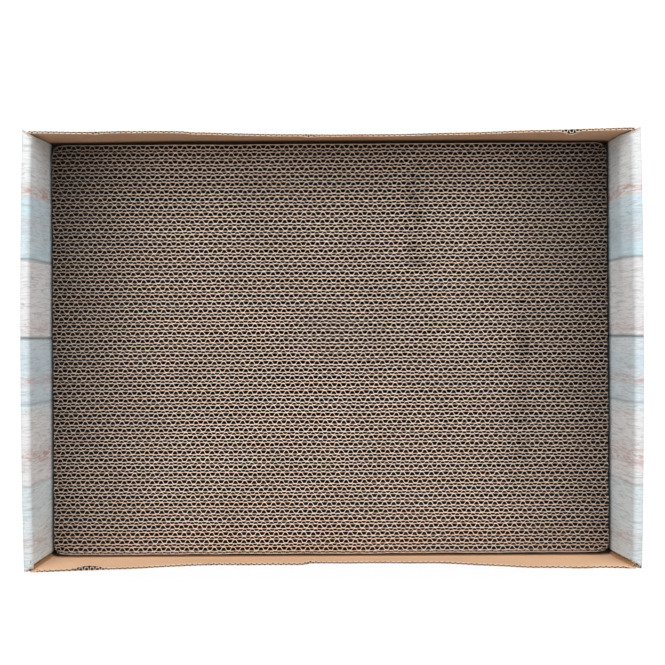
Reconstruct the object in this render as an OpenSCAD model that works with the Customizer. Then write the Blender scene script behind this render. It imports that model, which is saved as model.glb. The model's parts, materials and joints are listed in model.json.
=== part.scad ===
// Cardboard cat scratcher: an open die-cut tray of corrugated board with roll-over end walls,
// and a loose pad of glued double-wall sheets whose flutes stand upright, open at the scratching face.
// X runs along the tray, Y from front to back, Z up. The origin is the middle of the underside.
// Millimetres.

/* [Pad] */
// Sheets glued face to face, counted from the back
sheet_count = 55; // [4:1:55]
// Length of each sheet, along the tray
sheet_l = 466; // [200:1:600]
// Height of the pad
pad_h = 40; // [15:1:60]
// Depth of the large flutes, liner to liner
large_flute_h = 3.45; // [2.5:0.05:4.5]
// Pitch of the large flutes
large_flute_pitch = 7.8; // [6:0.1:12]
// Depth of the small flutes with the liners on both sides of them
small_flute_h = 2.8; // [1.5:0.05:3.5]
// Thickness of the liner that closes the back sheet
liner_t = 0.35; // [0.2:0.05:0.6]
// Radius of the pad's upright corners
pad_corner_r = 4; // [1:0.5:4]
// Film of glue between two sheets
glue_t = 0.05; // [0.02:0.01:0.1]

/* [Tray] */
// Height of the tray, up to the rims of its end walls
tray_h = 75; // [65:1:120]
// How far the raw edges of the front and back walls lie below the rims
raw_edge_drop = 1; // [0:0.5:5]
// Thickness of the tray's board
board_t = 2; // [1.2:0.1:3]
// Pitch of the flutes in that board
board_pitch = 4.25; // [3:0.05:7]
// Thickness of the papers in that board
board_paper_t = 0.3; // [0.15:0.05:0.4]
// Inside radius of a crease
crease_r = 0.4; // [0.2:0.1:1]
// Play between the pad and each end wall
end_play = 1.2; // [0.5:0.1:4]
// Play between the pad and the front wall, and between the pad and the back wall
side_play = 1.2; // [0.5:0.1:4]
// Play under the pad
seat_play = 0.2; // [0.1:0.1:0.5]

/* [End walls] */
// Play between the layers of a roll-over end wall
layer_play = 0.8; // [0.3:0.1:2]
// Length of each corner flap inside an end wall
flap_l = 104; // [40:1:150]
// Gap between an inner end wall and the front wall
inner_front_gap = 3.3; // [0.5:0.1:6]
// Gap between an inner end wall and the back wall
inner_back_gap = 1; // [0.5:0.1:6]
// How much shorter a rim is on its inner side, at the front
rim_front_taper = 2.4; // [0:0.1:5]
// How much shorter a rim is on its inner side, at the back
rim_back_taper = 3.6; // [0:0.1:5]
// Width of a locking tab at its root
tab_w = 44; // [20:1:70]
// How much a locking tab narrows on each side
tab_taper = 3; // [0:0.5:8]
// Distance between the middles of the two locking tabs of an end wall
tab_spacing = 190; // [80:1:240]
// Play round a locking tab in its slot
slot_play = 0.3; // [0.1:0.1:1]

/* [Hidden] */
sheet_t = large_flute_h + small_flute_h;
pad_w = sheet_count * sheet_t + liner_t;
pad_z = board_t + seat_play;

// Faces of the tray's walls, from the middle outwards
inner_x = sheet_l / 2 + end_play;
flap_x = inner_x + board_t + layer_play;
outer_x = flap_x + board_t + layer_play;
tray_x = outer_x + board_t;
inner_y = pad_w / 2 + side_play;
tray_y = inner_y + board_t;

// A crease turns the board's outer face on this radius
turn_r = crease_r + board_t;
wall_top = tray_h - raw_edge_drop;
flap_top = tray_h - board_t - layer_play;
side_wall_l = 2 * (flap_x + board_t - turn_r);
tab_foot = board_t - slot_play;

// Overrun of every cut
over = 1;
// Share of a flute's pitch by which each sheet's flutes are shifted, at random, as gluing leaves them
shift_seed = 11;
shift_shares = rands(0.1, 0.9, sheet_count, shift_seed);
corner_steps = 6;
$fn = 48;

kraft = "#b58a5e";
kraft_dark = "#8f6d4a";
print_light = "#d9dcd8";
print_aqua = "#a9c3c1";

sheets_per_node = 2;
sheet_node_count = ceil(sheet_count / sheets_per_node);
function first_sheet(k) = k * sheets_per_node + 1;
function last_sheet(k) = min(first_sheet(k) + sheets_per_node - 1, sheet_count);
function two_digits(n) = str(n < 10 ? "0" : "", n);
function sheet_node(k) = first_sheet(k) == last_sheet(k)
    ? str("pad_sheet_", two_digits(first_sheet(k)))
    : str("pad_sheets_", two_digits(first_sheet(k)), "_", two_digits(last_sheet(k)));

sides = ["left", "right"];

// Points of the pad's outline, with rounded corners
function corner(cx, cy, start) = [for (i = [0 : corner_steps])
    let (a = start + 90 * i / corner_steps)
    [cx + pad_corner_r * cos(a), cy + pad_corner_r * sin(a)]];
function rounded_outline(half_l, half_w) = concat(
    corner(half_l - pad_corner_r, half_w - pad_corner_r, 0),
    corner(pad_corner_r - half_l, half_w - pad_corner_r, 90),
    corner(pad_corner_r - half_l, pad_corner_r - half_w, 180),
    corner(half_l - pad_corner_r, pad_corner_r - half_w, 270));

// Crests and roots of the large flutes of one sheet, from left to right
function flute_line(shift) =
    let (start = shift * large_flute_pitch - sheet_l / 2,
         count = floor((sheet_l / 2 - start) / large_flute_pitch))
    [for (i = [0 : 2 * count])
        [start + i * large_flute_pitch / 2, i % 2 == 0 ? small_flute_h : sheet_t - glue_t]];

function sheet_points(shift) = concat(
    [[-sheet_l / 2, 0], [-sheet_l / 2, small_flute_h]],
    flute_line(shift),
    [[sheet_l / 2, small_flute_h], [sheet_l / 2, 0]]);

// A sheet's small-flute side is its front face, and its large flutes stand open towards the back
module sheet_profile(n)
    translate([0, pad_w / 2 - liner_t - n * sheet_t])
        polygon(sheet_points(shift_shares[n - 1]));

module pad_sheet(n)
    translate([0, 0, pad_z])
        linear_extrude(pad_h)
            if (n == 1 || n == sheet_count)
                intersection() {
                    sheet_profile(n);
                    polygon(rounded_outline(sheet_l / 2, pad_w / 2));
                }
            else
                sheet_profile(n);

module pad_sheets(k)
    color(k % 2 == 0 ? kraft : kraft_dark)
        for (n = [first_sheet(k) : last_sheet(k)])
            pad_sheet(n);

module pad_closing_liner()
    color(kraft)
        translate([pad_corner_r - sheet_l / 2, pad_w / 2 - liner_t, pad_z])
            cube([sheet_l - 2 * pad_corner_r, liner_t, pad_h]);

// Profile of a quarter turn of a sheet of thickness t on outer radius r.
// It joins a wall that stands over the turn's outer side to a panel that lies inwards from its foot.
module quarter_turn(r, t)
    intersection() {
        translate([-r, -r])
            square(r);
        difference() {
            circle(r);
            circle(r - t);
        }
    }

// Fluting between two liners: a paper folded to and fro along X
flute_gap = board_t - 2 * board_paper_t;
fold_t = board_paper_t * sqrt(1 + pow(2 * flute_gap / board_pitch, 2));
function fluting_edge(count, y0) = [for (i = [0 : 2 * count])
    [(i - count) * board_pitch / 2, y0 + (i % 2 == 0 ? 0 : flute_gap - fold_t)]];
function reversed(points) = [for (i = [len(points) - 1 : -1 : 0]) points[i]];
module fluting(l)
    let (count = floor(l / board_pitch))
        polygon(concat(fluting_edge(count, 0), reversed(fluting_edge(count, fold_t))));

// Board seen on its flute ends: l long along Y, board_t thick along X, with its tunnels open
glued_share = 0.05;
module board(l) {
    glued = glued_share * board_pitch;
    count = floor((l - 2 * board_paper_t) / board_pitch);
    start = (l - count * board_pitch) / 2;
    near = board_paper_t;
    far = board_t - board_paper_t;
    difference() {
        square([board_t, l]);
        for (i = [0 : count - 1])
            translate([0, start + i * board_pitch])
                polygon([[near, glued], [near, board_pitch - glued], [far - fold_t, board_pitch / 2]]);
        for (i = [1 : count - 1])
            translate([0, start + i * board_pitch])
                polygon([[far, glued - board_pitch / 2], [far, board_pitch / 2 - glued], [near + fold_t, 0]]);
    }
}

// Stretches a profile drawn in X and Z along Y, between two places
module along_y(y0, y1)
    translate([0, y1, 0])
        rotate([90, 0, 0])
            linear_extrude(y1 - y0)
                children();

// Stretches a profile drawn in Y and Z along X, about the middle
module along_x(l)
    translate([-l / 2, 0, 0])
        rotate([90, 0, 90])
            linear_extrude(l)
                children();

module to_side(side)
    if (side == "left")
        children();
    else
        mirror([1, 0, 0])
            children();

module to_wall(wall)
    if (wall == "front")
        children();
    else
        mirror([0, 1, 0])
            children();

module slots()
    for (side = sides)
        to_side(side)
            for (way = [-1, 1])
                translate([-inner_x - board_t - slot_play, way * tab_spacing / 2 - tab_w / 2 - slot_play, -over])
                    cube([board_t + 2 * slot_play, tab_w + 2 * slot_play, board_t + 2 * over]);

module base_panel()
    color(kraft)
        difference() {
            translate([turn_r - tray_x, turn_r - tray_y, 0])
                cube([2 * (tray_x - turn_r), 2 * (tray_y - turn_r), board_t]);
            slots();
        }

// One liner of the front wall: it stands on its turn at the fold to the base. The offset is its
// distance from the board's outer face.
module wall_liner(offset_in)
    along_x(side_wall_l)
        translate([turn_r - tray_y, 0]) {
            translate([offset_in - turn_r, turn_r])
                square([board_paper_t, wall_top - turn_r]);
            translate([0, turn_r])
                quarter_turn(turn_r - offset_in, board_paper_t);
        }

module wall_printed_liner(wall)
    color(print_light)
        to_wall(wall)
            wall_liner(0);

module wall_inner_liner(wall)
    color(kraft)
        to_wall(wall)
            wall_liner(board_t - board_paper_t);

module wall_fluting(wall)
    color(kraft_dark)
        to_wall(wall)
            translate([0, board_paper_t - tray_y, turn_r])
                linear_extrude(wall_top - turn_r)
                    fluting(side_wall_l);

// The flap goes on from its wall round an upright crease and stands inside the end wall
module flap(wall, side)
    color(kraft)
        to_wall(wall)
            to_side(side)
                translate([0, 0, board_t])
                    linear_extrude(flap_top - board_t) {
                        translate([turn_r - flap_x - board_t, turn_r - tray_y])
                            quarter_turn(turn_r, board_t);
                        translate([-flap_x - board_t, turn_r - tray_y])
                            board(flap_l);
                    }

module outer_wall(side)
    color(print_aqua)
        to_side(side)
            along_y(-tray_y, tray_y) {
                translate([turn_r - tray_x, turn_r])
                    quarter_turn(turn_r, board_t);
                translate([-tray_x, turn_r])
                    board(tray_h - 2 * turn_r);
            }

// The rim turns over from the outer wall to the inner wall on two creases
module rim_profile() {
    translate([turn_r - tray_x, tray_h - turn_r])
        mirror([0, 1])
            quarter_turn(turn_r, board_t);
    translate([turn_r - tray_x, tray_h - board_t])
        square([tray_x - inner_x - 2 * turn_r, board_t]);
    translate([-inner_x - turn_r, tray_h - turn_r])
        mirror([1, 0])
            mirror([0, 1])
                quarter_turn(turn_r, board_t);
}

module rim_plan()
    polygon([
        [-tray_x, -tray_y],
        [-tray_x, tray_y],
        [-inner_x, tray_y - rim_back_taper],
        [-inner_x, rim_front_taper - tray_y]]);

module rim(side)
    color(print_light)
        to_side(side)
            intersection() {
                along_y(-tray_y, tray_y)
                    rim_profile();
                translate([0, 0, tray_h - turn_r])
                    linear_extrude(turn_r)
                        rim_plan();
            }

module tab()
    along_x(board_t)
        polygon([
            [-tab_w / 2, 0],
            [tab_w / 2, 0],
            [tab_w / 2 - tab_taper, -tab_foot],
            [tab_taper - tab_w / 2, -tab_foot]]);

module inner_wall(side)
    color(print_aqua)
        to_side(side) {
            along_y(inner_front_gap - inner_y, inner_y - inner_back_gap)
                translate([-inner_x - board_t, board_t])
                    board(tray_h - turn_r - board_t);
            for (way = [-1, 1])
                translate([-inner_x - board_t / 2, way * tab_spacing / 2, board_t])
                    tab();
        }

base_panel();
for (wall = ["front", "back"]) {
    wall_inner_liner(wall);
    wall_fluting(wall);
    wall_printed_liner(wall);
}
for (side = sides) {
    outer_wall(side);
    rim(side);
    inner_wall(side);
    flap("front", side);
    flap("back", side);
}
pad_closing_liner();
for (k = [0 : sheet_node_count - 1])
    pad_sheets(k);
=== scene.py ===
import json
import math
import random

import bmesh
import bpy
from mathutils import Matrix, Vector, noise

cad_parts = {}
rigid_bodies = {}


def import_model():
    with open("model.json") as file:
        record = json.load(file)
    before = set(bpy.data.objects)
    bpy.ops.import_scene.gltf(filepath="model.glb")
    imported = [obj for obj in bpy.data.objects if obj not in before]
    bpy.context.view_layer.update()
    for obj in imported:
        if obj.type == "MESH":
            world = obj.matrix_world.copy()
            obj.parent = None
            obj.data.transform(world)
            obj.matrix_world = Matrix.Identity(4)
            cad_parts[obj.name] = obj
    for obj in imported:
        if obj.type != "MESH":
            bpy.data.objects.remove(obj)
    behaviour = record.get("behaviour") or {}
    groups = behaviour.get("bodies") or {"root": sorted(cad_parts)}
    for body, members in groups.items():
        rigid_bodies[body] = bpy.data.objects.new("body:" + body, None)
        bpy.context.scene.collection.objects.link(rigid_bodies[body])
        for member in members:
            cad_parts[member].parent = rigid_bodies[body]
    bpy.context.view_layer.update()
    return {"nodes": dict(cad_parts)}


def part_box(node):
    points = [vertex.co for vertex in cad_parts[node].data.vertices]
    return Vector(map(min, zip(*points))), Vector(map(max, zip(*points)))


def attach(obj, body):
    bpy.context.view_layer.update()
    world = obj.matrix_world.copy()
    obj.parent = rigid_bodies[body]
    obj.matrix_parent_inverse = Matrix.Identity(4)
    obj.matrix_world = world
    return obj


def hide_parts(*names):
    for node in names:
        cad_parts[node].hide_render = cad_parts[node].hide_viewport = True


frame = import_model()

print("frame loaded:", len(frame["nodes"]), "nodes")


# Small helpers

seedStride = 7.3  # keeps the noise of two seeds apart
white = (1, 1, 1, 1)


def ease(t):
    t = min(max(t, 0.0), 1.0)
    return t * t * (3 - 2 * t)


def hump(distance, half):  # 1 in the middle, 0 at half the width and beyond
    return ease(1 - abs(distance) / half)


def ripple(x, y, length, seed):  # soft noise from -1 to 1
    return noise.noise(Vector((x / length, y / length, seed * seedStride)))


def wave(size, x, y, seed):  # a ripple with a size of (height, length)
    return size[0] * ripple(x, y, size[1], seed)


def between(x, points):
    for (x0, y0), (x1, y1) in zip(points, points[1:]):
        if x < x1:
            return y0 + (y1 - y0) * ease((x - x0) / (x1 - x0))
    return points[-1][1]


def evenly(first, last, step):
    count = max(1, round(abs(last - first) / step))
    return [first + (last - first) * k / count for k in range(count + 1)]


# Shader nodes

def put(material, kind, sockets={}, **settings):
    made = material.node_tree.nodes.new(kind)
    for name, value in settings.items():
        setattr(made, name, value)
    for key, value in sockets.items():
        if isinstance(value, bpy.types.NodeSocket):
            material.node_tree.links.new(value, made.inputs[key])
        else:
            made.inputs[key].default_value = value
    return made


def maths(material, operation, *values):
    return put(material, "ShaderNodeMath", dict(enumerate(values)), operation=operation).outputs[0]


def split(material, vector):  # its X, Y and Z
    return put(material, "ShaderNodeSeparateXYZ", {0: vector}).outputs


def blend(material, factor, first, second, mode="MIX"):
    made = put(material, "ShaderNodeMix", {0: factor, 6: first, 7: second}, data_type="RGBA", blend_type=mode)
    return made.outputs[2]


def darken(material, colour, amount):
    return blend(material, 1.0, colour, amount, "MULTIPLY")


def remap(material, value, source, target, kind="LINEAR"):
    return put(material, "ShaderNodeMapRange", {
        "Value": value, 1: source[0], 2: source[1], 3: target[0], 4: target[1],
    }, interpolation_type=kind).outputs[0]


def ramp(material, factor, stops, interpolation="LINEAR"):
    made = put(material, "ShaderNodeValToRGB", {"Fac": factor})
    made.color_ramp.interpolation = interpolation
    points = made.color_ramp.elements
    while len(points) < len(stops):
        points.new(0.5)
    for point, (place, colour) in zip(points, stops):
        point.position = place
        point.color = (colour, colour, colour, 1) if isinstance(colour, (int, float)) else (*colour, 1)
    return made.outputs[0]


def speckle(material, vector, scale, detail, roughness=0.6, distortion=0.0):
    return put(material, "ShaderNodeTexNoise", {
        "Vector": vector, "Scale": scale, "Detail": detail, "Roughness": roughness, "Distortion": distortion,
    }).outputs[0]


def stretch(material, vector, scale, shift=(0, 0, 0)):
    made = put(material, "ShaderNodeMapping", {"Vector": vector, "Scale": scale, "Location": shift})
    return made.outputs[0]


def bySight(material, unseen, seen):  # one shader to bounce light, one for the picture
    rays = put(material, "ShaderNodeLightPath").outputs
    clear = maths(material, "MAXIMUM", rays["Is Glossy Ray"], rays["Is Transmission Ray"])
    looks = maths(material, "MAXIMUM", rays["Is Camera Ray"], clear)
    made = put(material, "ShaderNodeMixShader", {0: looks, 1: unseen.outputs[0], 2: seen.outputs[0]})
    return made.outputs[0]


# Papers

paper = {"gloss": 0.3, "kraftRoughness": 0.88, "printRoughness": 0.62}
kraftPaper = {
    # light tone, dark tone, scale of the patches, scale of the fibres
    "face": ((0.72, 0.455, 0.285), (0.63, 0.39, 0.24), 22.0, 900.0),
    "back": ((0.835, 0.51, 0.317), (0.73, 0.435, 0.266), 22.0, 900.0),  # painted light: a lighter copy of the face kraft, for the back wall's inner face, which faces away from the back lamps
    "cutEdge": ((0.90, 0.74, 0.61), (0.72, 0.455, 0.285), 60.0, 1500.0),
    # painted shade: the flute paper is far darker than kraft, for the shade inside the board's flutes
    "flute": ((0.11, 0.066, 0.040), (0.07, 0.040, 0.024), 40.0, 1200.0),
    "fold": ((0.44, 0.245, 0.125), (0.30, 0.16, 0.08), 120.0, 900.0),
    "crushed": ((0.62, 0.555, 0.505), (0.36, 0.31, 0.275), 420.0, 1300.0),
    # painted shade: the base's kraft top is dark brown, for the shade under the pad
    "shadeUnderPad": ((0.22, 0.135, 0.085), (0.17, 0.105, 0.065), 22.0, 900.0),
    "patchDetail": 3.0,
    "fibreStretch": (1, 1, 0.45),
    "fibreNoise": (5.0, 0.7),           # detail, roughness
    "fibreShare": 0.55,                 # of the tone; the patches give the rest
    "toneEnds": (0.34, 0.60),
    "shadeUnderPadEnds": (0.35, 0.62),
    "bump": (0.35, 0.00012),            # strength, depth
}
scratchPaper = {
    "outside": ((0.54, 0.38, 0.27), (0.42, 0.285, 0.19), 22.0, 900.0),
    # painted shade: the flute sides are nearly black, far darker than their kraft, for the shade deep inside
    # the flutes
    "flank": ((0.016, 0.008, 0.005), (0.010, 0.005, 0.003), 26.0, 1100.0),
    "cutEdge": ((0.83, 0.655, 0.535), (0.68, 0.52, 0.415), 34.0, 1700.0),
    # painted shade: the pad gets darker towards its ends, and a little towards its back
    "endFade": (0.100, 0.235),          # where it starts and is full, from the middle
    "darkest": (0.67, 0.41),            # at the ends, in front and at the back
    "towardsBack": 0.86,
    "reach": 0.13,                      # from the middle to the front or the back
}
# a shade on the inside of the walls, down beside the pad, and the heights that it ends at
shade = {"from": 0.0350, "back": 0.0430, "elsewhere": 0.0385, "darkest": 0.16}


def newPaint(name, roughness):
    material = bpy.data.materials.new(name)
    material.use_nodes = True
    shader = material.node_tree.nodes["Principled BSDF"]
    shader.inputs["Roughness"].default_value = roughness
    shader.inputs["Specular IOR Level"].default_value = paper["gloss"]
    return material, shader


def coat(material, shader, colour, relief, bump):
    strength, depth = bump
    bumps = put(material, "ShaderNodeBump", {"Height": relief, "Strength": strength, "Distance": depth})
    material.node_tree.links.new(colour, shader.inputs["Base Color"])
    material.node_tree.links.new(bumps.outputs[0], shader.inputs["Normal"])


def shadeBesidePad(material, coords, colour, end):
    height = split(material, coords)[2]
    amount = remap(material, height, (shade["from"], end), (shade["darkest"], 1.0), "SMOOTHSTEP")
    return darken(material, colour, amount)


# painted shade on the pad's papers: darker towards their ends and towards the back
def paintShadeTowardsEnds(material, coords, colour):
    x, y = split(material, coords)[:2]
    depths = (-scratchPaper["reach"], scratchPaper["reach"])
    darkest = remap(material, y, depths, scratchPaper["darkest"])
    away = maths(material, "ABSOLUTE", x)
    amount = remap(material, away, scratchPaper["endFade"], (1.0, darkest), "SMOOTHSTEP")
    colour = darken(material, colour, amount)
    return darken(material, colour, remap(material, y, depths, (1.0, scratchPaper["towardsBack"])))


def makeKraft(name, look, paintsEndShade=False, shadeEnd=None):
    light, dark, patch, fibre = look
    material, shader = newPaint(name, paper["kraftRoughness"])
    coords = put(material, "ShaderNodeTexCoord").outputs["Object"]
    patches = speckle(material, coords, patch, kraftPaper["patchDetail"])
    drawnOut = stretch(material, coords, kraftPaper["fibreStretch"])
    fibres = speckle(material, drawnOut, fibre, *kraftPaper["fibreNoise"])
    share = kraftPaper["fibreShare"]
    tone = maths(material, "MULTIPLY_ADD", fibres, share, maths(material, "MULTIPLY", patches, 1 - share))
    colour = ramp(material, tone, list(zip(kraftPaper["toneEnds"], (dark, light))))
    if paintsEndShade:
        colour = paintShadeTowardsEnds(material, coords, colour)
    if shadeEnd:
        colour = shadeBesidePad(material, coords, colour, shadeEnd)
    coat(material, shader, colour, fibres, kraftPaper["bump"])
    return material


kraftFace = makeKraft("kraft face", kraftPaper["face"])
kraftInFront = makeKraft("kraft inside front", kraftPaper["face"], shadeEnd=shade["elsewhere"])
kraftAtBackLightened = makeKraft("kraft inside back", kraftPaper["back"], shadeEnd=shade["back"])
kraftCut = makeKraft("kraft cut edge", kraftPaper["cutEdge"])
kraftFlute = makeKraft("kraft flute", kraftPaper["flute"])
kraftFold = makeKraft("kraft fold", kraftPaper["fold"], shadeEnd=shade["elsewhere"])
crushedEnd = makeKraft("crushed rim end", kraftPaper["crushed"])
scratchFlank = makeKraft("scratch flute side painted shade", scratchPaper["flank"], True)
scratchCut = makeKraft("scratch cut edge", scratchPaper["cutEdge"], True)
scratchOutside = makeKraft("scratch outside", scratchPaper["outside"])


# Whitewashed planks, printed on the flat sheet. u runs along the planks, v across them, in metres.

planks = {
    "span": 0.26,
    "bands": [
        (-0.26, (0.651, 0.707, 0.716)), (-0.228, (0.595, 0.688, 0.735)), (-0.1795, (0.614, 0.702, 0.73)),
        (-0.1083, (0.721, 0.711, 0.716)), (-0.0500, (0.632, 0.711, 0.735)), (-0.0431, (0.545, 0.660, 0.720)),
        (0.0101, (0.705, 0.695, 0.710)), (0.0729, (0.515, 0.665, 0.730)), (0.1207, (0.675, 0.690, 0.695)),
        (0.2140, (0.586, 0.688, 0.735)),
    ],
    # middle, half width and strength
    "seams": [(-0.2280, 0.0009, 0.7), (-0.1795, 0.0009, 0.6), (-0.1083, 0.0009, 1.0), (-0.0500, 0.0009, 0.45),
              (-0.0431, 0.0009, 0.75), (0.0101, 0.0009, 0.9), (0.0729, 0.0009, 0.75), (0.1207, 0.0009, 0.3),
              (0.2140, 0.0009, 0.8)],
    "rose": [(-0.2050, 0.012, 0.4), (-0.1540, 0.012, 0.55), (-0.0860, 0.013, 0.85), (-0.0240, 0.006, 0.8),
             (0.0180, 0.010, 0.5), (0.0980, 0.016, 0.35), (0.1285, 0.008, 1.0), (0.1900, 0.014, 0.4)],
    "seamColour": (0.07, 0.09, 0.10, 1),
    "roseColour": (0.46, 0.26, 0.23, 1),
    "washColour": (0.745, 0.745, 0.75, 1),
    "grainColour": (0.42, 0.43, 0.43, 1),
    "markColour": (0.27, 0.28, 0.28, 1),
    "wobbleStretch": (9, 3, 1),
    "wobbleNoise": (3.0, 2.0),          # scale, detail
    "wobble": 0.0026,
    # stretch, shift, detail, roughness, distortion
    "patches": ((16, 42, 1), (0, 0, 0), 4.0, 0.6, 0.6),
    "streaks": ((60, 560, 1), (3, 1, 0), 6.0, 0.72, 1.1),
    "grain": ((120, 950, 1), (7, 5, 0), 5.0, 0.65, 0.8),
    "marks": ((110, 210, 1), (1, 9, 0), 5.0, 0.7, 1.2),
    "worn": ((85, 430, 1), (5, 2, 0), 4.0, 0.6, 1.4),
    "washRamp": [(0.40, 0.0), (0.66, 0.55)],
    "streakRamp": [(0.34, 0.85), (0.44, 0.35), (0.51, 0.0)],
    "grainRamp": [(0.36, 0.65), (0.48, 0.0)],
    "markRamp": [(0.30, 0.85), (0.38, 0.0)],
    "wornRamp": [(0.47, 0.16), (0.54, 1.0)],
    "tornRamp": [(0.40, 0.15), (0.52, 1.0)],
    "mostRose": 0.85,
    "bump": (0.15, 0.0001),             # strength, depth
    "facingDown": -0.5,
}


def plankColour(material, flat):
    span = planks["span"]
    wobble = speckle(material, stretch(material, flat, planks["wobbleStretch"]), *planks["wobbleNoise"])
    wobble = maths(material, "SUBTRACT", wobble, 0.5)
    across = maths(material, "MULTIPLY_ADD", wobble, planks["wobble"], split(material, flat)[1])
    place = remap(material, across, (-span, span), (0.0, 1.0))

    def at(v):
        return (v + span) / (2 * span)

    def stripes(name, interpolation):
        stops = []
        for v, half, strength in planks[name]:
            stops += [(at(v - half), 0.0), (at(v), strength), (at(v + half), 0.0)]
        return ramp(material, place, stops, interpolation)

    def pattern(name):
        scale, shift, *look = planks[name]
        return speckle(material, stretch(material, flat, scale, shift), 1.0, *look)

    bands = ramp(material, place, [(at(v), colour) for v, colour in planks["bands"]], "CONSTANT")
    streaks, marks = pattern("streaks"), pattern("marks")
    washed = ramp(material, pattern("patches"), planks["washRamp"])
    lines = ramp(material, streaks, planks["streakRamp"])
    fine = ramp(material, pattern("grain"), planks["grainRamp"])
    specks = ramp(material, marks, planks["markRamp"])
    colour = blend(material, washed, bands, planks["washColour"])
    colour = blend(material, lines, colour, planks["grainColour"])
    colour = blend(material, fine, colour, planks["grainColour"])
    colour = blend(material, specks, colour, planks["markColour"])
    strokes = ramp(material, pattern("worn"), planks["wornRamp"])
    torn = ramp(material, marks, planks["tornRamp"])
    rose = maths(material, "MULTIPLY", stripes("rose", "EASE"), maths(material, "MULTIPLY", torn, strokes))
    rose = maths(material, "MINIMUM", rose, planks["mostRose"])
    colour = blend(material, rose, colour, planks["roseColour"])
    return blend(material, stripes("seams", "LINEAR"), colour, planks["seamColour"]), streaks


def makePrint(name, besidePad=False):
    material, shader = newPaint(name, paper["printRoughness"])
    flat = put(material, "ShaderNodeUVMap", uv_map="flat").outputs[0]
    colour, streaks = plankColour(material, flat)
    if besidePad:
        coords = put(material, "ShaderNodeTexCoord").outputs["Object"]
        colour = shadeBesidePad(material, coords, colour, shade["elsewhere"])
    coat(material, shader, colour, streaks, planks["bump"])
    return material


def makeBasePrint():  # for the base panel's own mesh: printed below, kraft above and on its cuts, that kraft darkened as painted shade under the pad
    material, shader = newPaint("base panel print", paper["printRoughness"])
    coords = put(material, "ShaderNodeTexCoord").outputs["Object"]
    colour, streaks = plankColour(material, coords)
    light, dark, _, fibre = kraftPaper["shadeUnderPad"]
    fibres = speckle(material, coords, fibre, *kraftPaper["fibreNoise"])
    kraft = ramp(material, fibres, list(zip(kraftPaper["shadeUnderPadEnds"], (dark, light))))
    normal = put(material, "ShaderNodeNewGeometry").outputs["Normal"]
    below = maths(material, "LESS_THAN", split(material, normal)[2], planks["facingDown"])
    coat(material, shader, blend(material, below, kraft, colour), streaks, planks["bump"])
    return material


plankPrint = makePrint("plank print")
plankInside = makePrint("plank print inside", True)
basePrint = makeBasePrint()
print("papers mixed")


# Sheets of paper laid out as grids and thickened

sharpAngle = 38  # degrees
# shares of a slope's length, and of its height, that a flute's bends take
fluteRounding = {"along": 0.25, "drop": 0.22}


def newPrinted():
    bm = bmesh.new()
    bm.loops.layers.uv.new("flat")
    return bm


def offPrint(i, j):  # for papers that show no print
    return (0.0, 0.0)


def layPaper(bm, columns, rows, place, thickness, slots, flat=None):
    before = len(bm.faces)
    made = bmesh.ops.create_grid(bm, x_segments=columns, y_segments=rows, size=0.5, calc_uvs=False)
    where = {v: (round((v.co.x + 0.5) * columns), round((v.co.y + 0.5) * rows)) for v in made["verts"]}
    faces = bm.faces[before:]
    if flat:
        uv = bm.loops.layers.uv["flat"]
        for face in faces:
            for loop in face.loops:
                loop[uv].uv = flat(*where[loop.vert])
    for v in made["verts"]:
        v.co = place(*where[v])
    bm.normal_update()
    grown = bmesh.ops.solidify(bm, geom=faces, thickness=thickness)
    faceSlot, backSlot, edgeSlot = slots
    for face in bm.faces[before:]:
        face.material_index = edgeSlot
    for face in faces:
        face.material_index = faceSlot
    for part in grown["geom"]:
        if isinstance(part, bmesh.types.BMFace):
            part.material_index = backSlot


def finishPiece(bm, name, materials, body, nodeName):
    bm.normal_update()
    mesh = bpy.data.meshes.new(name)
    bm.to_mesh(mesh)
    bm.free()
    for face in mesh.polygons:
        face.use_smooth = True
    mesh.set_sharp_from_angle(angle=math.radians(sharpAngle))
    for material in materials:
        mesh.materials.append(material)
    piece = bpy.data.objects.new(name, mesh)
    bpy.context.scene.collection.objects.link(piece)
    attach(piece, body)
    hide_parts(nodeName)


def fluteShape(flats):
    # one flute as (share of the pitch, height); flats are the shares that lie on the high and the low liner
    high, low = flats
    slope = (1 - high - low) / 2
    down, up = high + slope, high + slope + low
    soon, drop = fluteRounding["along"], fluteRounding["drop"]
    late = 1 - soon
    return [(0.0, 1.0), (high, 1.0), (high + soon * slope, 1 - drop), (high + late * slope, drop),
            (down, 0.0), (up, 0.0), (up + soon * slope, drop), (up + late * slope, 1 - drop)]


# The scratching pad: double-wall sheets on edge, large flutes towards the back of each

pad = {
    "depth": 0.00625,                   # of one sheet, front to back
    "liner": 0.00021,
    "middleLiner": 0.00043,
    "smallRoom": 0.00215,               # between the front liner and the middle one
    "smallFlute": {"paper": 0.00037, "pitch": 0.00672, "flats": (0.24, 0.33)},
    "largeFlute": {"paper": 0.00049, "pitch": 0.0078, "flats": (0.24, 0.36)},
    "glue": 0.00002,
    "spread": 0.03,                     # how unlike each other the flutes are, in width and in lean
    "firstFlute": (0.1, 1.0),           # how much of it the sheet's end cuts off
    "endTrim": 0.0006,
    "linerStep": 0.005,
    "topBand": 0.006,
    "seed": 29,
    "seedScale": 1e5,
    "frontFace": (0.0012, 0.8),         # depth, and how squarely it faces the front
    "facingUp": 0.5,
}
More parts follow.
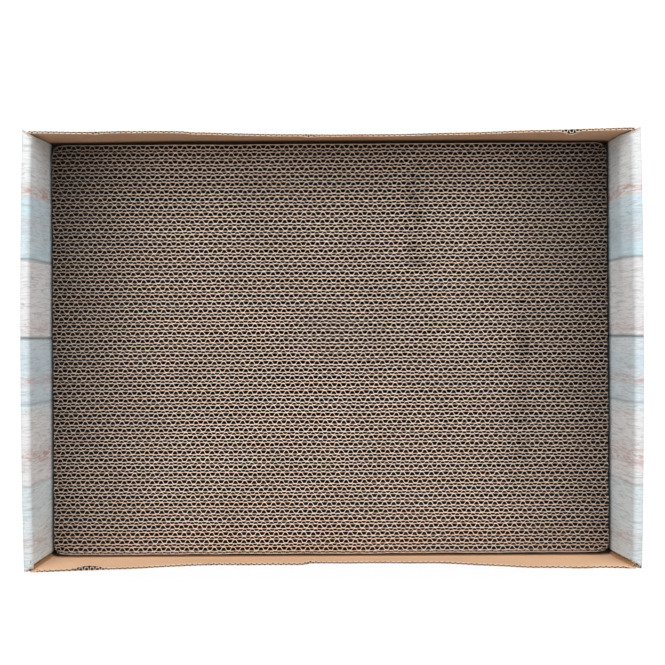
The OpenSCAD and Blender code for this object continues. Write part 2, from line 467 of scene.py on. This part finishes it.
# how the sheets settle: waves are (height, length)
settle = {
    "topDepth": 0.012,                  # how far down the top's own unevenness reaches
    "shift": (0.00032, 0.055),
    "fineShift": (0.00022, 0.021),
    "fineShiftNarrow": 1.6,
    "crushShift": (0.0011, 0.0085),
    "crushShiftWide": 0.6,
    "slide": (0.0003, 0.04),
    "crushSlide": (0.0008, 0.006),
    "pressReach": 0.0030,               # the foremost flutes are pressed flat
    "pressShift": 0.0002,
    "pressWave": (0.0003, 0.012),
    "turn": 0.0016,
    "rightReach": 0.0006,
    "rightFrom": (0.15, 0.07),
    "corner": 0.0085,
    "topWave": (0.00022, 0.009),
    "topSink": 0.00028,
}
crushed = {
    # middle, back end, front end and half width of the two strips
    "strips": [(0.069, 0.166, 0.060, 0.008), (0.1575, 0.052, -0.104, 0.007)],
    "drift": (0.004, 0.03),
    "seedScale": 100,
    "fadeOut": 0.012,
    # for each flute: its chance to be hit, then how far it moves along X, along Y and down
    "chance": 0.8,
    "along": (-0.0011, 0.0011),
    "across": (-0.0005, 0.0005),
    "down": (0.0, 0.0035),
    "wear": (0.0, 0.00025),             # how far any flute has sunk
    "firstPoint": 2,                    # the first point of a flute that moves with it
}
padLo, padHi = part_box("pad_sheet_55")
backLo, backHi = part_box("pad_closing_liner")
padLeft, padRight = padLo.x, padHi.x
padFront, padBack = padLo.y, backHi.y
padTop = padHi.z
padLevels = [padLo.z, padTop - pad["topBand"], padTop]
flankSlot, topSlot, outsideSlot = range(3)
flutePoints = len(fluteShape(pad["smallFlute"]["flats"]))


def crushAt(x, y):
    worst = 0.0
    for middle, back, front, half in crushed["strips"]:
        drift = wave(crushed["drift"], 0.0, y, middle * crushed["seedScale"])
        reach = min(ease((back - y) / crushed["fadeOut"]), ease((y - front) / crushed["fadeOut"]))
        worst = max(worst, reach * hump(x - middle - drift, half))
    return worst


def settlePad(co):
    x, y = co.x, co.y
    crush = crushAt(x, y)
    rise = ease((co.z - padTop + settle["topDepth"]) / settle["topDepth"])
    shift = wave(settle["shift"], x, y, 1) + wave(settle["fineShift"], x, y * settle["fineShiftNarrow"], 2)
    shift += crush * wave(settle["crushShift"], x * settle["crushShiftWide"], y, 3)
    slide = wave(settle["slide"], x, y, 4) + crush * wave(settle["crushSlide"], x, y, 5)
    press = ease((padFront + settle["pressReach"] - y) / settle["pressReach"])
    shift += press * (settle["pressShift"] + wave(settle["pressWave"], x, 0.0, 6))
    x, y = x + slide, y + shift
    x, y = x - y * settle["turn"], y + x * settle["turn"]
    start, length = settle["rightFrom"]
    x += settle["rightReach"] * ease((x - start) / length)
    # corners squeezed round
    radius = settle["corner"]
    px, py = abs(x) - padRight + radius, abs(y) - padBack + radius
    if px > 0 and py > 0:
        pull = max(px, py) / math.hypot(px, py)
        x = math.copysign(padRight - radius + px * pull, x)
        y = math.copysign(padBack - radius + py * pull, y)
    z = co.z + rise * (wave(settle["topWave"], x, y, 8) - settle["topSink"])
    return Vector((x, y, z))


def settleSheets(bm):
    for v in bm.verts:
        v.co = settlePad(v.co)


def fluteLine(dice, start, end, pitch, flats):
    spread = pad["spread"]
    line = []
    x = start - dice.uniform(*pad["firstFlute"]) * pitch
    while x < end + pitch:
        width = pitch * (1 + dice.uniform(-spread, spread))
        lean = dice.uniform(-spread, spread) * pitch
        for share, height in fluteShape(flats):
            line.append((x + share * width + lean * (height - 0.5), height))
        x += width
    kept = []
    for (x0, h0), (x1, h1) in zip(line, line[1:]):
        if x0 < start <= x1:
            kept.append((start, h0 + (h1 - h0) * (start - x0) / (x1 - x0)))
        if start < x0 < end:
            kept.append((x0, h0))
        if x0 < end <= x1:
            kept.append((end, h0 + (h1 - h0) * (end - x0) / (x1 - x0)))
    return kept


def dentLine(dice, line, y):  # each flute is dented as a whole
    dents = []
    dent = (0.0, 0.0, 0.0)
    for index, (x, height) in enumerate(line):
        if index % flutePoints == crushed["firstPoint"]:
            hit = crushAt(x, y) * (dice.random() < crushed["chance"])
            dent = (hit * dice.uniform(*crushed["along"]), hit * dice.uniform(*crushed["across"]),
                    hit * dice.uniform(*crushed["down"]) + dice.uniform(*crushed["wear"]))
        dents.append(dent)
    return dents


def layFlutes(bm, dice, start, end, flute, near, far):
    line = fluteLine(dice, start, end, flute["pitch"], flute["flats"])
    dents = dentLine(dice, line, near)
    room = far - near - flute["paper"]

    def place(i, j):
        x, height = line[i]
        y, z = near + height * room, padLevels[j]
        if z == padTop:
            along, across, down = dents[i]
            x += along
            y += across * 4 * height * (1 - height)  # most between the liners
            z -= down
        return Vector((min(max(x, start), end), y, z))

    layPaper(bm, len(line) - 1, len(padLevels) - 1, place, flute["paper"], (flankSlot, flankSlot, topSlot))


def layLiner(bm, start, end, front, thickness):
    columns = round((end - start) / pad["linerStep"])

    def place(i, j):
        return Vector((start + (end - start) * i / columns, front, padLevels[j]))

    layPaper(bm, columns, len(padLevels) - 1, place, thickness, (flankSlot, flankSlot, topSlot))


def makeSheets(nodeName):
    lo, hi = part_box(nodeName)
    count = max(1, round((hi.y - lo.y) / pad["depth"]))
    bm = bmesh.new()
    for k in range(count):
        front = lo.y + k * pad["depth"]
        dice = random.Random(pad["seed"] + round(front * pad["seedScale"]))
        start = padLeft + dice.uniform(0.0, pad["endTrim"])
        end = padRight - dice.uniform(0.0, pad["endTrim"])
        middle = front + pad["liner"] + pad["smallRoom"]
        behind = front + pad["depth"] - pad["liner"] - pad["glue"]
        layLiner(bm, start, end, front, pad["liner"])
        layFlutes(bm, dice, start, end, pad["smallFlute"], front + pad["liner"], middle)
        layLiner(bm, start, end, middle, pad["middleLiner"])
        layFlutes(bm, dice, start, end, pad["largeFlute"], middle + pad["middleLiner"], behind)
        layLiner(bm, start, end, behind, pad["liner"])
    settleSheets(bm)
    bm.normal_update()
    depth, squarely = pad["frontFace"]
    for face in bm.faces:  # the front face, and the cut faces that don't face up, take the darker outside paper
        atFront = face.calc_center_median().y < padFront + depth and abs(face.normal.y) > squarely
        if atFront or (face.material_index == topSlot and face.normal.z < pad["facingUp"]):
            face.material_index = outsideSlot
    name = nodeName.replace("pad_sheet", "scratch_sheet")
    finishPiece(bm, name, [scratchFlank, scratchCut, scratchOutside], "pad", nodeName)


for nodeName in sorted(frame["nodes"]):
    if nodeName.startswith("pad_sheet"):
        makeSheets(nodeName)
bm = bmesh.new()
layLiner(bm, padLeft, padRight, backLo.y, backHi.y - backLo.y)
settleSheets(bm)
finishPiece(bm, "scratch_back_liner", [scratchOutside, scratchCut], "pad", "pad_closing_liner")
sheets = [piece for piece in bpy.data.objects if piece.name.startswith("scratch")]
print("pad laid:", sum(len(piece.data.polygons) for piece in sheets), "faces")


# The tray, folded from one flat sheet

floorLo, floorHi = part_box("base_panel")
wallLo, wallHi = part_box("front_wall_printed_liner")
panelLo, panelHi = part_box("left_inner_wall")
flapLo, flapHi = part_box("front_left_flap")
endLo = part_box("left_outer_wall")[0]
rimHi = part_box("left_rim")[1]
floorZ, rimZ, wallTop, flapTop = floorHi.z, rimHi.z, wallHi.z, flapHi.z
halfX, halfY = -endLo.x, -wallLo.y
wallEnd, innerX, flapX = wallHi.x, -panelHi.x, -flapLo.x

board = {
    "thick": floorHi.z - floorLo.z,
    "paper": 0.00024,
    "flute": 0.0003,
    "pitch": 0.00425,
    "flats": (0.17, 0.17),
    "turn": floorLo.x - endLo.x,        # outer radius of a fold
    "foldSteps": 6,
    "hair": 1e-6,                       # no two points along a fold lie closer
}
quarter = board["turn"] * math.pi / 2
innerPaper = board["thick"] - board["paper"]
fluteRoom = board["thick"] - 2 * board["paper"] - board["flute"]

tray = {
    # the end walls lean out: so far at the ends, so much more in the middle
    "leftLean": (0.0023, 0.0022),
    "rightLean": (0.0061, 0.0020),
    "rightTwist": 0.0003,
    "leanFrom": 0.030,
    "leanPower": 1.25,
    "rightCrease": (0.71, 0.25),        # towards the back: share of the height, share of the lean
    "creasePower": 1.3,
    "creaseReach": 0.12,
    "endBulge": (0.0010, 0.0019),       # left, right
    "endBulgeAt": (0.037, 0.032),       # height of the middle, half height
    "endFrom": (0.16, 0.075),           # along X: where this sets in, and over what length
    # the front and back walls bow in above the pad
    "wallsFrom": 0.165,
    "bowFrom": 0.043,
    "bowPower": 1.3,
    "frontBow": 0.0056,
    "frontFade": (0.228, 0.155),        # along X: where the bow ends, and over what length it fades
    "frontBulge": 0.0015,
    "backBow": 0.0039,
    "backSpan": 0.237,
    "backPower": 1.2,
    "backBulge": 0.0027,
    "backBulgeEnds": 0.6,
    "backBulgeFade": (0.225, 0.10),
    "wallBulgeAt": (0.040, 0.032),
    "sway": (0.00035, 0.03),
    # how far their top edges stand out past the plain bow, along X
    "frontLine": [(-0.240, 0.0006), (-0.190, 0.0002), (-0.150, 0.0006), (-0.090, 0.0010), (-0.050, 0.0014),
                  (-0.024, 0.0013), (-0.015, 0.0001), (0.090, 0.0003), (0.120, 0.0012), (0.155, 0.0012),
                  (0.190, 0.0001), (0.215, -0.0008), (0.240, -0.0004)],
    "backLine": [(-0.240, -0.0005), (-0.200, -0.0003), (-0.155, 0.0015), (-0.119, 0.0019), (-0.107, 0.0011),
                 (-0.030, 0.0001), (0.050, -0.0003), (0.110, 0.0), (0.150, 0.0006), (0.240, 0.0007)],
}


def leanOut(x, y, z):
    within = ease((halfX - abs(x)) / (halfX - innerX))  # 0 outside the end wall, 1 on its inner face
    start = tray["leanFrom"] * within
    high = max(0.0, (z - start) / (rimZ - start))
    ends, middle = tray["leftLean"] if x < 0 else tray["rightLean"]
    lean = ends + middle * (1 - (y / halfY) ** 2)
    rise = high ** tray["leanPower"]
    if x > 0:
        lean += tray["rightTwist"] * y / halfY
        crease, part = tray["rightCrease"]
        if high < crease:
            folded = part * (high / crease) ** tray["creasePower"]
        else:
            folded = part + (1 - part) * (high - crease) / (1 - crease)
        rise += within * ease(y / tray["creaseReach"]) * (folded - rise)
    middle, half = tray["endBulgeAt"]
    start, length = tray["endFrom"]
    out = lean * rise + tray["endBulge"][x > 0] * hump(z - middle, half)
    return ease((abs(x) - start) / length) * out


def standOut(x, y, z):
    if y < 0:
        end, fade = tray["frontFade"]
        bow = tray["frontBow"] * ease((end - abs(x)) / fade)
        bulge = tray["frontBulge"]
    else:
        end, fade = tray["backBulgeFade"]
        ends = tray["backBulgeEnds"]
        bow = tray["backBow"] * max(0.0, 1 - (x / tray["backSpan"]) ** 2) ** tray["backPower"]
        bulge = tray["backBulge"] * (ends + (1 - ends) * ease((end - abs(x)) / fade))
    bow += wave(tray["sway"], x, 0.0, 11 if y < 0 else 12)
    bow -= between(x, tray["frontLine"] if y < 0 else tray["backLine"])
    up = max(0.0, (z - tray["bowFrom"]) / (rimZ - tray["bowFrom"])) ** tray["bowPower"]
    middle, half = tray["wallBulgeAt"]
    return bulge * hump(z - middle, half) - bow * up


def settleTray(co):
    x, y, z = co
    if abs(y) > tray["wallsFrom"]:
        y += math.copysign(1, y) * standOut(*co)
    x += math.copysign(1, x) * leanOut(*co)
    return Vector((x, y, z))


def follow(path, length, depth):
    # the point at this length along a folded board and this depth under its outer face
    point, heading, inside = Vector(path["start"]), Vector((-1.0, 0.0)), Vector((0.0, 1.0))
    for kind, run in path["runs"]:
        step = min(run, length)
        if kind == "fold":
            radius = run / (math.pi / 2)
            angle = step / radius
            point = point + radius * (heading * math.sin(angle) + inside * (1 - math.cos(angle)))
            heading, inside = (heading * math.cos(angle) + inside * math.sin(angle),
                               inside * math.cos(angle) - heading * math.sin(angle))
        else:
            point = point + heading * step
        length -= step
        if length <= 0:
            break
    return point + inside * depth


def stations(path, first, last, step):
    # places along the path, closer together on the folds
    marks, reached = [first], 0.0
    for kind, run in path["runs"]:
        count = board["foldSteps"] if kind == "fold" else max(1, round(run / step))
        for k in range(count):
            mark = reached + run * (k + 1) / count
            if first + board["hair"] < mark < last - board["hair"]:
                marks.append(mark)
        reached += run
    return marks + [last]


def waves(first, last, flats):
    count = max(1, round((last - first) / board["pitch"]))
    width = (last - first) / count
    shape = fluteShape(flats)
    line = [(first + (k + share) * width, height) for k in range(count) for share, height in shape]
    return line + [(last, 1.0)]


def mirrorTo(bm, sideX, sideY):
    bmesh.ops.scale(bm, vec=(sideX, sideY, 1), verts=bm.verts)
    if sideX * sideY < 0:
        bmesh.ops.reverse_faces(bm, faces=bm.faces)
    for v in bm.verts:
        v.co = settleTray(v.co)


# Front and back walls: three papers, flutes upright and open along the raw top edge

walls = {
    # the printed paper is pressed in over the flutes along the cut: its thickness there, and theirs
    "print": {"front_wall": 0.00036, "back_wall": 0.00040},
    "kraft": {"front_wall": kraftInFront, "back_wall": kraftAtBackLightened},
    "flute": 0.00042,
    "flats": (0.40, 0.34),
    "across": 0.0016,                   # spacing of the points along X and up the wall
    "up": 0.003,
    "topStep": 0.0008,
    "fluteTop": (0.0045, 0.004),        # the flutes' topmost points but one
    "edge": (0.00022, 0.004),           # the blade's edge is not quite level
    "edgeDepth": 0.004,
    "glueLine": 0.00005,                # faint lines where the flutes are glued
    "crease": (-0.0105, 0.004, 0.0005),  # a soft one in the back wall: middle, half width, depth
    "creaseUp": (0.03, 0.03),
    # at the front corners the kraft paper is squeezed over the raw edge
    "squeezeAlong": (0.0068, 0.002),
    "squeezeUp": (0.0025, 0.002),
    "squeezeIn": 0.0012,
    "squeezeDown": 0.0016,
    # middle along X, half width, how far the inner paper stands off, how deep
    "peels": {
        "front_wall": [(-0.1915, 0.0165, 0.0023, 0.011), (-0.017, 0.006, 0.0006, 0.010)],
        "back_wall": [(0.1900, 0.0085, 0.0024, 0.009), (-0.185, 0.0045, 0.0009, 0.006),
                      (-0.0165, 0.005, 0.0009, 0.012)],
    },
    "peelPower": 1.5,
    "fluteFollows": 0.6,                # how much of a peel the flutes take
}
wallRuns = [("fold", quarter), ("flat", wallTop - board["turn"])]
wallPath = {"start": (board["turn"] - halfY, 0.0), "runs": wallRuns}
wallLength = quarter + wallTop - board["turn"]


def makeWall(name, way):
    def peel(x, z):
        off = 0.0
        for middle, half, out, deep in walls["peels"][name]:
            off += out * hump(x - middle, half) * ease((z - wallTop + deep) / deep) ** walls["peelPower"]
        return off

    def ragged(x, z, seed):
        depth = walls["edgeDepth"]
        return wave(walls["edge"], x, seed, seed) * ease((z - wallTop + depth) / depth)

    def squeezed(x, z):
        (along, alongFade), (up, upFade) = walls["squeezeAlong"], walls["squeezeUp"]
        return (way < 0) * ease((abs(x) - wallEnd + along) / alongFade) * ease((z - wallTop + up) / upFade)

    spots = evenly(-wallEnd, wallEnd, walls["across"])
    heights = stations(wallPath, 0.0, wallLength - walls["topStep"], walls["up"]) + [wallLength]

    def flat(i, j):
        return (spots[i], way * (halfY - board["turn"] + heights[j]))

    def liner(depth, thickness, materials, pieceName, nodeName, isInner):
        bm = newPrinted()

        def place(i, j):
            y, z = follow(wallPath, heights[j], depth)
            x = spots[i]
            if isInner:
                y += peel(x, z)
                y += (walls["glueLine"] * math.sin(2 * math.pi * x / board["pitch"])
                      - walls["squeezeIn"] * squeezed(x, z))
                if way > 0:
                    middle, half, out = walls["crease"]
                    start, length = walls["creaseUp"]
                    y += out * hump(x - middle, half) * ease((z - start) / length)
            return Vector((x, y, z + ragged(x, z, 22 if isInner else 21)))

        layPaper(bm, len(spots) - 1, len(heights) - 1, place, thickness, (0, 1, 2), flat)
        mirrorTo(bm, 1, -way)
        finishPiece(bm, pieceName, materials, "tray", nodeName)

    liner(0.0, walls["print"][name], [plankPrint, kraftFlute, kraftCut],
          name + "_print_paper", name + "_printed_liner", False)
    liner(innerPaper, board["paper"], [kraftFlute, walls["kraft"][name], kraftCut],
          name + "_kraft_paper", name + "_inner_liner", True)

    line = waves(-wallEnd, wallEnd, walls["flats"])
    clear, last = walls["fluteTop"]
    levels = [z for z in heights if board["turn"] < z < wallTop - clear] + [wallTop - last, wallTop]
    room = board["thick"] - 2 * board["paper"] - walls["flute"]

    def place(i, j):
        x, height = line[i]
        z = levels[j]
        z -= walls["squeezeDown"] * squeezed(x, z)
        depth = board["paper"] + height * (room + walls["fluteFollows"] * peel(x, z))
        return Vector((x, depth - halfY, z + ragged(x, z, 25)))

    bm = bmesh.new()
    layPaper(bm, len(line) - 1, len(levels) - 1, place, walls["flute"], (0, 0, 1))
    mirrorTo(bm, 1, -way)
    finishPiece(bm, name + "_flutes", [kraftFlute, kraftCut], "tray", name + "_fluting")


makeWall("front_wall", -1)
makeWall("back_wall", 1)
print("front and back walls stand")


# End walls: outer wall, rim and inner wall are one strip, folded over on two creases

strip = {
    "step": 0.003,
    "columns": 64,
    "besideEnds": (0.0057, 0.9963),
    "fluteColumns": 16,
    "fluteShare": 0.9995,               # the flutes stop just short of the papers
    "fray": (0.00035, 0.0012),
    "trim": 0.0002,
    "scallop": 0.00015,
    # how far each rim stops short of the full depth: outside, then inside
    "frontShort": {"left": (0.0010, 0.0034), "right": (0.0024, 0.0052)},
    "backShort": {"left": (-0.0008, 0.0029), "right": (0.0, 0.0030)},
    "shortFrom": 0.0012,
    "crushedEnds": (0.0013, 0.0020),    # front, back
    "innerTrim": 0.001,
}
endRuns = [("fold", quarter), ("flat", rimZ - 2 * board["turn"]),
           ("fold", quarter), ("flat", halfX - innerX - 2 * board["turn"]),
           ("fold", quarter), ("flat", rimZ - board["turn"] - floorZ)]
endPath = {"start": (board["turn"] - halfX, 0.0), "runs": endRuns}
outerEnd = endRuns[0][1] + endRuns[1][1]
rimEnd = outerEnd + endRuns[2][1] + endRuns[3][1] + endRuns[4][1]
stripEnd = rimEnd + endRuns[5][1]
flatStart = halfX - board["turn"]
endPapers = [plankPrint, kraftFlute, kraftFace, kraftCut, crushedEnd]
printSlot, fluteSlot, kraftSlot, cutSlot, crushedSlot = range(len(endPapers))
outerSlots = (printSlot, fluteSlot, cutSlot)
innerSlots = (fluteSlot, kraftSlot, cutSlot)
fluteSlots = (fluteSlot, fluteSlot, cutSlot)


def makeStrip(bm, first, last, reach, sideX, seed):
    # three papers of an end wall between two lengths of its path. reach gives its two ends along Y.
    marks = stations(endPath, first, last, strip["step"])
    nearFirst, nearLast = strip["besideEnds"]
    column = 1 / strip["columns"]
    columns = [0.0, nearFirst] + evenly(column, 1 - column, column) + [nearLast, 1.0]

    def along(share, x, mark):
        front, back = reach(x)
        y = back + (front - back) * share
        fray = wave(strip["fray"], mark, share, seed)
        if share == 1.0:
            y -= strip["trim"] + fray - strip["scallop"] * math.cos(2 * math.pi * mark / board["pitch"])
        elif share == 0.0:
            y += fray - strip["trim"]
        return y

    def layFace(depth, slots):
        def place(i, j):
            x, z = follow(endPath, marks[j], depth)
            return Vector((x, along(columns[i], x, marks[j]), z))

        def flat(i, j):
            x, z = follow(endPath, marks[j], depth)
            return (sideX * (flatStart + marks[j]), along(columns[i], x, marks[j]))

        layPaper(bm, len(columns) - 1, len(marks) - 1, place, board["paper"], slots, flat)

    layFace(0.0, outerSlots)
    layFace(innerPaper, innerSlots)
    line = waves(first, last, board["flats"])

    def place(i, j):
        mark, height = line[j]
        x, z = follow(endPath, mark, board["paper"] + height * fluteRoom)
        return Vector((x, along(i / strip["fluteColumns"], x, mark) * strip["fluteShare"], z))

    layPaper(bm, strip["fluteColumns"], len(line) - 1, place, board["flute"], fluteSlots, offPrint)


tab = {"middle": 0.095, "width": 0.044, "taper": 0.003, "foot": 0.0003, "columns": 8, "rows": 2,
       "printColumn": 0.005, "printRow": 0.001}


def layTabs(bm, sideX):
    core = board["thick"] - 2 * board["paper"]
    layers = ((0.0, board["paper"], outerSlots), (board["paper"], core, fluteSlots),
              (innerPaper, board["paper"], innerSlots))
    for way in (-1, 1):
        for depth, thickness, slots in layers:
            def place(i, j):
                down = j / tab["rows"]
                half = tab["width"] / 2 - tab["taper"] * down
                return Vector((-innerX - depth, way * tab["middle"] + half * (1 - 2 * i / tab["columns"]),
                               floorZ + (tab["foot"] - floorZ) * down))

            def flat(i, j):
                across = tab["printColumn"] * (tab["columns"] / 2 - i)
                return (sideX * (flatStart + stripEnd + tab["printRow"] * j), way * tab["middle"] + across)

            layPaper(bm, tab["columns"], tab["rows"], place, thickness, slots, flat)


def makeEndWall(side, sideX):
    bm = newPrinted()
    makeStrip(bm, 0.0, outerEnd, lambda x: (-halfY, halfY), sideX, 31)
    mirrorTo(bm, -sideX, 1)
    finishPiece(bm, side + "_outer_panel", endPapers, "tray", side + "_outer_wall")

    frontOut, frontIn = strip["frontShort"][side]
    backOut, backIn = strip["backShort"][side]

    def rimReach(x):
        margin = strip["shortFrom"]
        share = ease((x + halfX - margin) / (halfX - innerX - 2 * margin))
        return (frontOut + (frontIn - frontOut) * share - halfY, halfY - backOut - (backIn - backOut) * share)

    bm = newPrinted()
    makeStrip(bm, outerEnd, rimEnd, rimReach, sideX, 32)
    atFront, atBack = strip["crushedEnds"]
    for face in bm.faces:  # the print is crushed off at both ends
        centre = face.calc_center_median()
        front, back = rimReach(centre.x)
        if face.material_index == printSlot and not front + atFront < centre.y < back - atBack:
            face.material_index = crushedSlot
    mirrorTo(bm, -sideX, 1)
    finishPiece(bm, side + "_rim_strip", endPapers, "tray", side + "_rim")

    bm = newPrinted()
    makeStrip(bm, rimEnd, stripEnd, lambda x: (panelLo.y + strip["innerTrim"], panelHi.y), sideX, 33)
    layTabs(bm, sideX)
    mirrorTo(bm, -sideX, 1)
    papers = [plankInside] + endPapers[1:]
    finishPiece(bm, side + "_inner_panel", papers, "tray", side + "_inner_wall")


makeEndWall("left", -1)
makeEndWall("right", 1)
print("end walls rolled over")


# Corner flaps, folded on from the front and back walls

flap = {
    "step": 0.004,
    "levels": (0.012, 0.006),           # the lowest above the floor, and their spacing
    "creases": (0.0009, 0.0021, 0.0034),
    "creaseHalf": 0.0006,
    "creaseDepth": 0.00022,
    # the fold's liner is buckled: how far that reaches along each face, and its ribs
    "bead": {"front_left": 0.0034, "front_right": 0.0034, "back_left": 0.0014, "back_right": 0.0026},
    "ribs": (0.0, 0.5, -0.1, 0.55, -0.05, 0.5, 0.0),
    "ribHeight": 0.0006,
    "ribWave": (0.0002, 0.01),
    "beadDrop": 0.0004,
}
flapLength = flapHi.y - wallLo.y - board["turn"]
flapPath = {"start": (board["turn"] - flapX, wallLo.y), "runs": [("fold", quarter), ("flat", flapLength)]}
flapPapers = endPapers[:crushedSlot] + [kraftFold]
foldSlot = crushedSlot


def makeFlap(name, sideX, way):
    bm = newPrinted()
    marks = stations(flapPath, 0.0, quarter + flapLength, flap["step"])
    levels = [floorZ] + evenly(flap["levels"][0], flapTop, flap["levels"][1])

    def layFace(depth, slots, creases):
        def place(i, j):
            inward = depth
            for crease in creases:
                inward -= flap["creaseDepth"] * hump(marks[j] - crease, flap["creaseHalf"])
            x, y = follow(flapPath, marks[j], inward)
            return Vector((x, y, levels[i]))

        def flat(i, j):
            return (sideX * (wallEnd + marks[j]), way * (halfY + levels[i]))

        layPaper(bm, len(levels) - 1, len(marks) - 1, place, board["paper"], slots, flat)

    layFace(0.0, outerSlots, ())
    layFace(innerPaper, innerSlots, flap["creases"])
    line = waves(0.0, quarter + flapLength, board["flats"])

    def place(i, j):
        mark, height = line[j]
        x, y = follow(flapPath, mark, board["paper"] + height * fluteRoom)
        return Vector((x, y, levels[i]))

    layPaper(bm, len(levels) - 1, len(line) - 1, place, board["flute"], fluteSlots, offPrint)

    bead = flap["bead"][name]
    levels[-1] = wallTop - flap["beadDrop"]
    corner = Vector((board["thick"] - flapX, wallLo.y + board["thick"]))
    ribs = flap["ribs"]

    def placeBead(i, j):  # from the wall's inner face across to the flap's
        share = j / (len(ribs) - 1)
        out = flap["ribHeight"] * ribs[j]
        x = corner.x + bead * (1 - share) + out + wave(flap["ribWave"], levels[i], share, 41)
        y = corner.y + bead * share + out
        return Vector((x, y, levels[i]))

    layPaper(bm, len(levels) - 1, len(ribs) - 1, placeBead, -board["paper"],
             (foldSlot, foldSlot, cutSlot), offPrint)
    mirrorTo(bm, -sideX, -way)
    finishPiece(bm, name + "_corner", flapPapers, "tray", name + "_flap")


for wall, way in (("front", -1), ("back", 1)):
    for side, sideX in (("left", -1), ("right", 1)):
        makeFlap(wall + "_" + side, sideX, way)

base = frame["nodes"]["base_panel"]
base.data.materials.clear()
base.data.materials.append(basePrint)
print("flaps and base done")


# Floor, light and camera

studio = {
    "floorHalf": 4.0,
    "floorDrop": 0.0004,
    "floorGlow": 0.875,
    "floorPaint": (0.20, 0.20, 0.20, 1),
    "floorBounce": (0.35, 0.35, 0.35, 1),  # what the floor sends back onto the outside of the tray
    "worldLight": 0.08,
    # power, place and size of each lamp
    "lamps": {
        "backLamp": (22.0, (0.0, 1.55, 0.80), (1.6, 0.9)),
        "backLeftLamp": (8.0, (-1.01, 1.02, 1.0), (1.2, 1.1)),
        "backRightLamp": (8.0, (1.01, 1.02, 1.0), (1.2, 1.1)),
        "frontLeftLamp": (3.0, (-0.95, -0.95, 0.95), (1.0, 0.9)),
        "frontRightLamp": (3.0, (0.95, -0.95, 0.95), (1.0, 0.9)),
        "leftLamp": (4.8, (-1.4, 0.1, 0.80), (1.1, 0.9)),
        "rightLamp": (4.8, (1.4, 0.1, 0.80), (1.1, 0.9)),
        "topLeftLamp": (6.2, (-0.75, 0.25, 1.5), (1.0, 1.6)),
        "topRightLamp": (6.2, (0.75, 0.25, 1.5), (1.0, 1.6)),
    },
}
floorPaint = bpy.data.materials.new("floor")
floorPaint.use_nodes = True
floorPaint.node_tree.nodes.clear()
matt = put(floorPaint, "ShaderNodeBsdfDiffuse", {"Color": studio["floorPaint"]})
glow = put(floorPaint, "ShaderNodeEmission", {"Color": white, "Strength": studio["floorGlow"]})
lit = put(floorPaint, "ShaderNodeAddShader", {0: matt.outputs[0], 1: glow.outputs[0]})
plain = put(floorPaint, "ShaderNodeBsdfDiffuse", {"Color": studio["floorBounce"]})
put(floorPaint, "ShaderNodeOutputMaterial", {"Surface": bySight(floorPaint, plain, lit)})

bm = bmesh.new()
bmesh.ops.create_grid(bm, x_segments=4, y_segments=4, size=studio["floorHalf"])
bmesh.ops.translate(bm, vec=(0, 0, -studio["floorDrop"]), verts=bm.verts)
floorMesh = bpy.data.meshes.new("floor")
bm.to_mesh(floorMesh)
bm.free()
floorMesh.materials.append(floorPaint)
floorPiece = bpy.data.objects.new("floor", floorMesh)
bpy.context.scene.collection.objects.link(floorPiece)

world = bpy.data.worlds.new("studio")
bpy.context.scene.world = world
world.use_nodes = True
world.node_tree.nodes.clear()
soft = put(world, "ShaderNodeBackground", {"Color": white, "Strength": studio["worldLight"]})
bright = put(world, "ShaderNodeBackground", {"Color": white, "Strength": 1.0})
put(world, "ShaderNodeOutputWorld", {"Surface": bySight(world, soft, bright)})

for name, (power, place, size) in studio["lamps"].items():
    lamp = bpy.data.lights.new(name, "AREA")
    lamp.shape = "RECTANGLE"
    lamp.size, lamp.size_y = size
    lamp.energy = power
    holder = bpy.data.objects.new(name, lamp)
    holder.location = place
    holder.rotation_euler = (-Vector(place)).to_track_quat("-Z", "Y").to_euler()
    bpy.context.scene.collection.objects.link(holder)

shot = {"place": (0.0021, 0.0137, 0.625), "lens": 37.57, "sensor": 36.0, "clip": 0.01, "roll": -0.24}
cameraData = bpy.data.cameras.new("camera")
cameraData.lens = shot["lens"]
cameraData.sensor_width = shot["sensor"]
cameraData.clip_start = shot["clip"]
camera = bpy.data.objects.new("camera", cameraData)
camera.location = shot["place"]
camera.rotation_euler = (0.0, 0.0, math.radians(shot["roll"]))
bpy.context.scene.collection.objects.link(camera)
bpy.context.scene.camera = camera
bpy.context.scene.view_settings.view_transform = "Standard"
